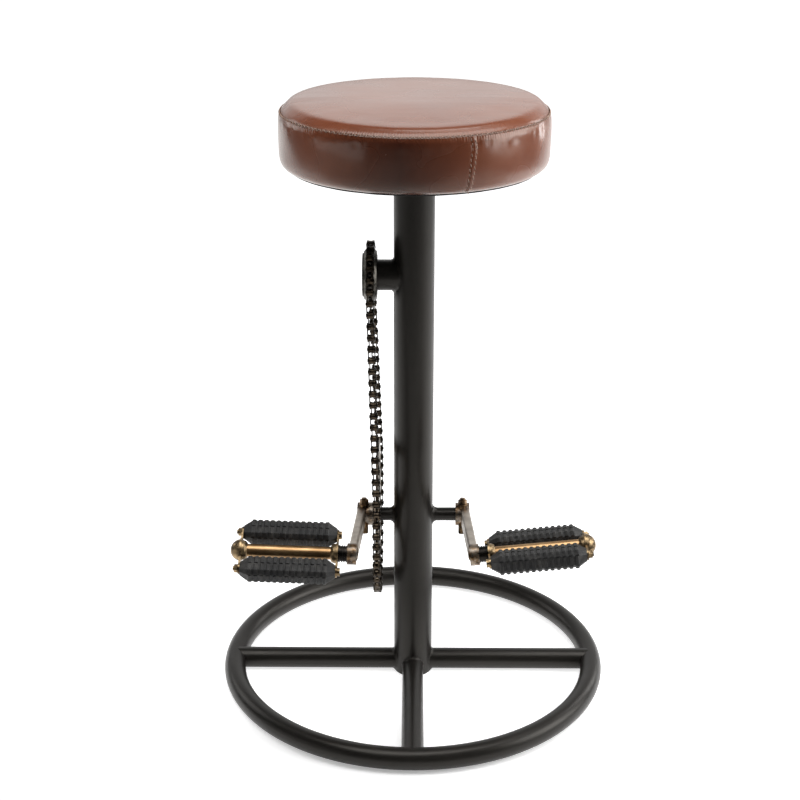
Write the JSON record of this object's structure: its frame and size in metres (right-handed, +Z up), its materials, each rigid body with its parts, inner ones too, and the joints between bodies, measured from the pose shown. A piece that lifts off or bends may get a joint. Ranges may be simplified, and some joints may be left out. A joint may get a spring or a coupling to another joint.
{
  "type": "bar stool",
  "caption": "Backless round-seat bar stool on a ring base, with crank arms and turning block pedals as foot rests and a fixed roller chain drive on its column.",
  "frame": {"origin": "on the floor under the column axis, at the centre of the base ring", "axes": "+Z up along the column, -Y to the front where the cranks and pedals point, +X to the right seen from the front; the chain is on the -X side"},
  "size_m": [0.4619, 0.462, 0.706],
  "materials": {
    "frame_paint": "satin black",
    "plywood": "sanded plywood",
    "foam": "open foam",
    "leather": "glossy red-brown leather",
    "black_cloth": "woven cloth",
    "zinc_steel": "zinc plated",
    "aged_steel": "aged, brownish",
    "dark_steel": "dark, oiled",
    "chainring_steel": "aged, bronze tint",
    "ball_steel": "polished",
    "black_steel": "black oxide",
    "aged_brass": "aged antique brass",
    "black_rubber": "matte moulded rubber"
  },
  "bodies": {
    "stool": {"base_ring": "frame_paint", "base_spoke_front": "frame_paint", "base_spoke_rear": "frame_paint", "base_spoke_left": "frame_paint", "base_spoke_right": "frame_paint", "base_weld_beads": "frame_paint", "column_tube": "frame_paint", "seat_mount_plate": "frame_paint", "seat_plate_weld_bead": "frame_paint", "spindle_weld_beads": "frame_paint", "stub_weld_bead": "frame_paint", "seat_board": "plywood", "seat_foam": "foam", "leather_top_panel": "leather", "leather_side_band": "leather", "dust_cover": "black_cloth", "seat_bolts": "zinc_steel", "seat_bolt_washers": "zinc_steel", "seat_tee_nuts": "zinc_steel", "seat_staples": "zinc_steel", "crank_spindle": "frame_paint", "left_crank": "aged_steel", "right_crank": "aged_steel", "cotter_pins": "aged_steel", "cotter_washers": "aged_steel", "cotter_nuts": "aged_steel", "chainring": "chainring_steel", "chain_outer_links": "dark_steel", "chain_inner_links": "dark_steel", "chain_rollers": "dark_steel", "freewheel_stub": "frame_paint", "freewheel_sprocket": "dark_steel", "freewheel_core": "dark_steel", "freewheel_lock_ring": "dark_steel", "freewheel_pawls": "dark_steel", "freewheel_balls": "ball_steel", "left_pedal_spindle": "black_steel", "right_pedal_spindle": "black_steel", "pedal_outer_cones": "ball_steel", "pedal_cone_washers": "ball_steel", "pedal_cone_locknuts": "ball_steel"},
    "left_pedal": {"left_pedal_centre_tube": "aged_brass", "left_pedal_inner_plate": "aged_brass", "left_pedal_outer_plate": "aged_brass", "left_pedal_bearing_cups": "aged_brass", "left_pedal_rubbers": "black_rubber", "left_pedal_rods": "aged_brass", "left_pedal_rod_nuts": "aged_brass", "left_pedal_dust_cap": "aged_brass", "left_pedal_balls": "ball_steel"},
    "right_pedal": {"right_pedal_centre_tube": "aged_brass", "right_pedal_inner_plate": "aged_brass", "right_pedal_outer_plate": "aged_brass", "right_pedal_bearing_cups": "aged_brass", "right_pedal_rubbers": "black_rubber", "right_pedal_rods": "aged_brass", "right_pedal_rod_nuts": "aged_brass", "right_pedal_dust_cap": "aged_brass", "right_pedal_balls": "ball_steel"}
  },
  "joints": [
    {"name": "left_pedal_spin", "type": "hinge", "parent": "stool", "child": "left_pedal", "pos_m": [-0.072, -0.16249, 0.23765], "axis": [-0.9993, 0, 0.0366], "continuous": true},
    {"name": "right_pedal_spin", "type": "hinge", "parent": "stool", "child": "right_pedal", "pos_m": [0.072, -0.16249, 0.23765], "axis": [0.9945, 0, 0.1045], "continuous": true}
  ]
}
